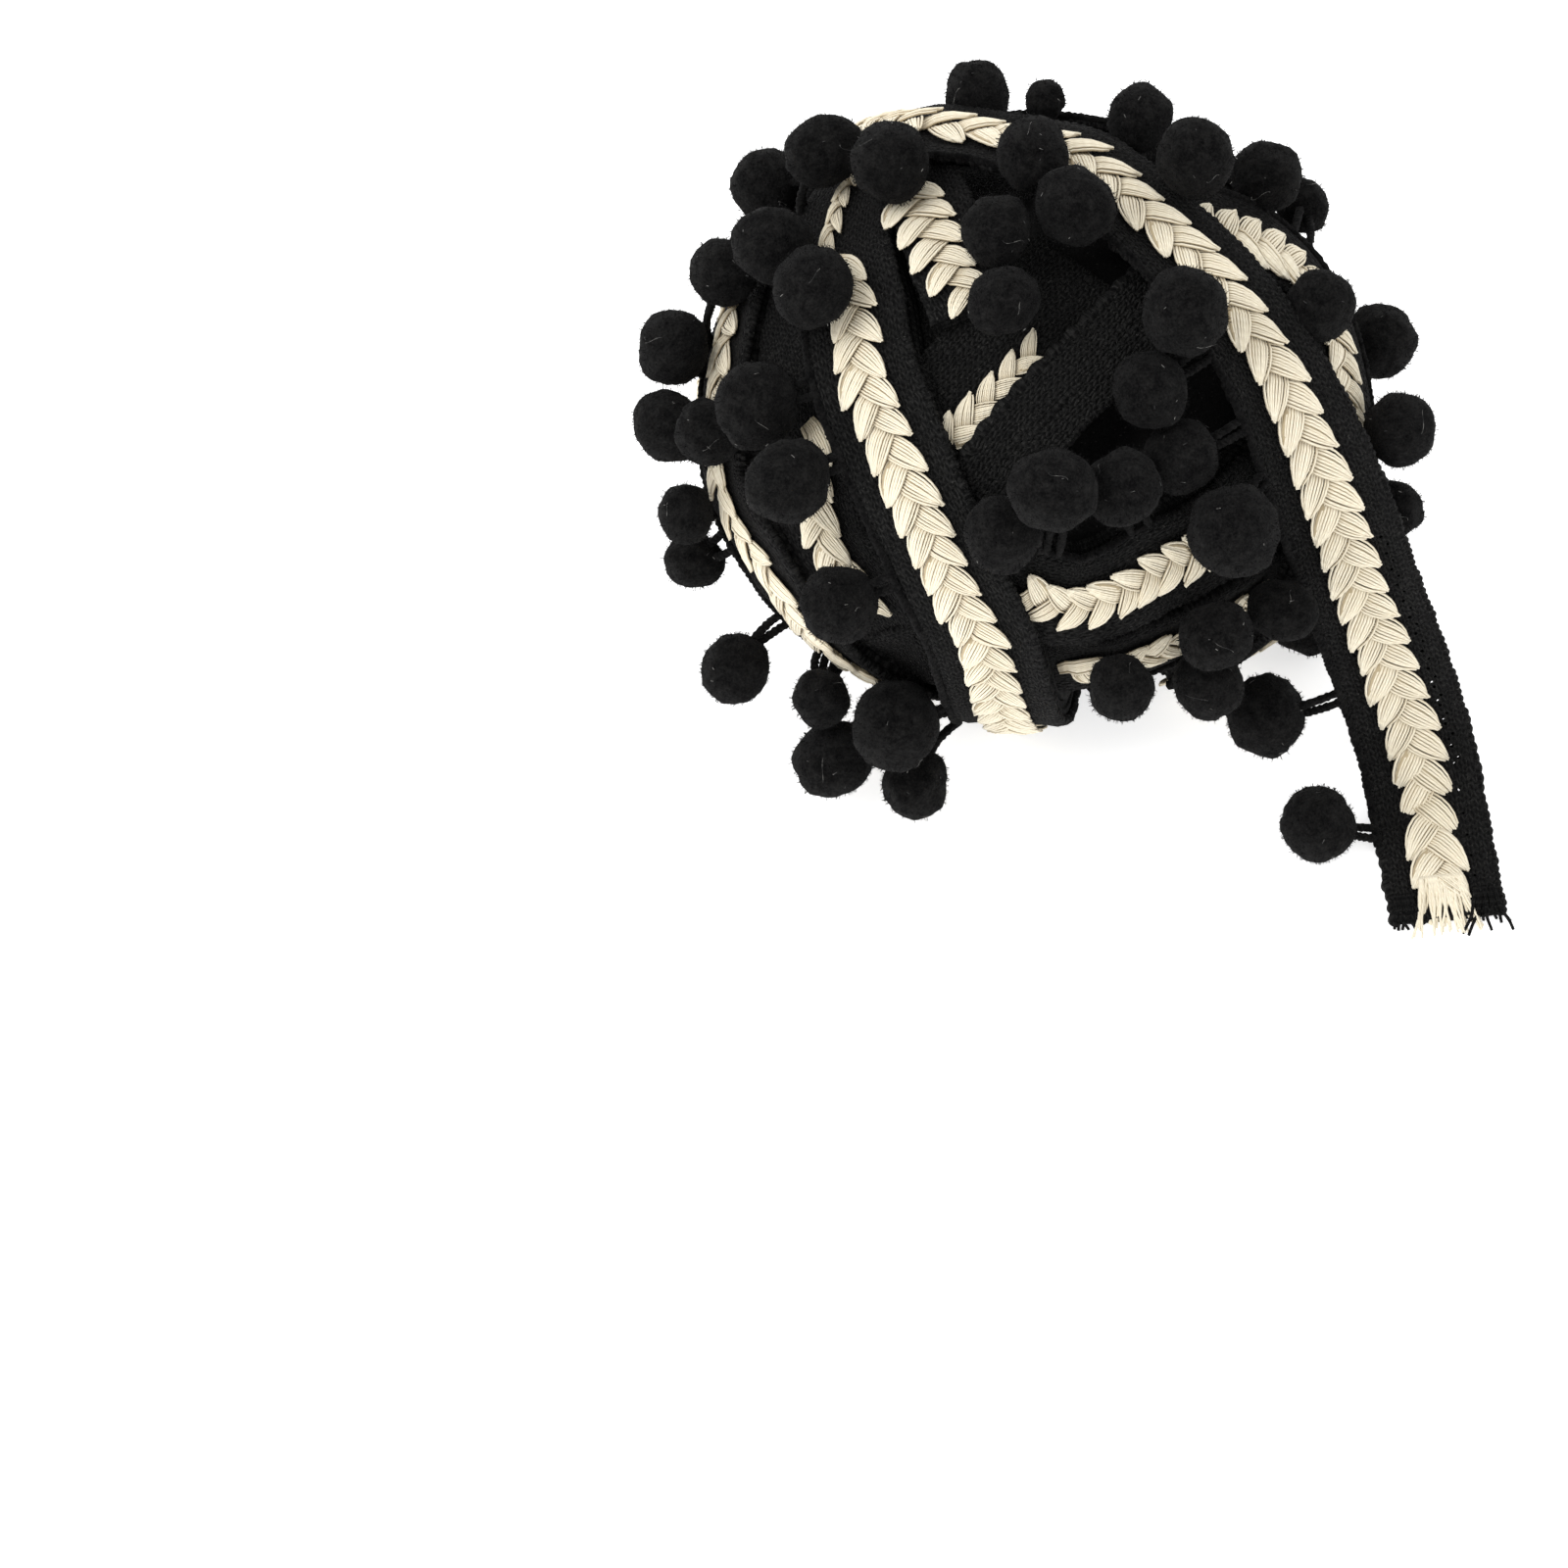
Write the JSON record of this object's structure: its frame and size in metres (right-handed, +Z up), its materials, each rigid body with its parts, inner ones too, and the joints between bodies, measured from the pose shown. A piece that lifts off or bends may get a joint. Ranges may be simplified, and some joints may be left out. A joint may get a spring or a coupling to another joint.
{
  "type": "pompom fringe trim",
  "caption": "Black tape trim with a cream plait down its middle and felted pompoms along one edge, wound into a loose ball with its frayed end hanging down onto the surface.",
  "frame": {"origin": "middle of the flattened spot that the ball rests on", "axes": "+Z up; the loose end comes down towards -Y and +X, and the ball's front faces -Y and up"},
  "size_m": [0.1698, 0.1554, 0.1309],
  "materials": {
    "black_tape": "matt black woven tape",
    "black_felt": "matt black felted wool",
    "cream_cotton": "matt cream cotton yarn"
  },
  "bodies": {
    "root": {"between_turn_plait_1": "cream_cotton", "bottom_fringe": "black_felt", "bottom_turn_plait_1": "cream_cotton", "curled_fringe": "black_felt", "curled_turn_plait_1": "cream_cotton", "high_rear_fringe": "black_felt", "hollow_fringe": "black_felt", "left_border_fray": "black_tape", "left_fringe": "black_felt", "left_rear_fringe": "black_felt", "left_turn_plait_1": "cream_cotton", "left_turn_plait_2": "cream_cotton", "loose_fringe": "black_felt", "loose_plait": "cream_cotton", "loose_tape": "black_tape", "lower_turn_plait_1": "cream_cotton", "lower_turn_plait_2": "cream_cotton", "outer_fringe": "black_felt", "outer_turn_plait_1": "cream_cotton", "plait_fray": "cream_cotton", "rear_fringe": "black_felt", "rear_high_turn_plait_1": "cream_cotton", "rear_high_turn_plait_2": "cream_cotton", "rear_turn_plait_1": "cream_cotton", "right_border_fray": "black_tape", "right_fringe": "black_felt", "right_rear_fringe": "black_felt", "right_turn_plait_1": "cream_cotton", "right_turn_plait_2": "cream_cotton", "top_fringe": "black_felt", "top_turn_plait_1": "cream_cotton", "wound_ball": "black_tape"}
  },
  "joints": []
}
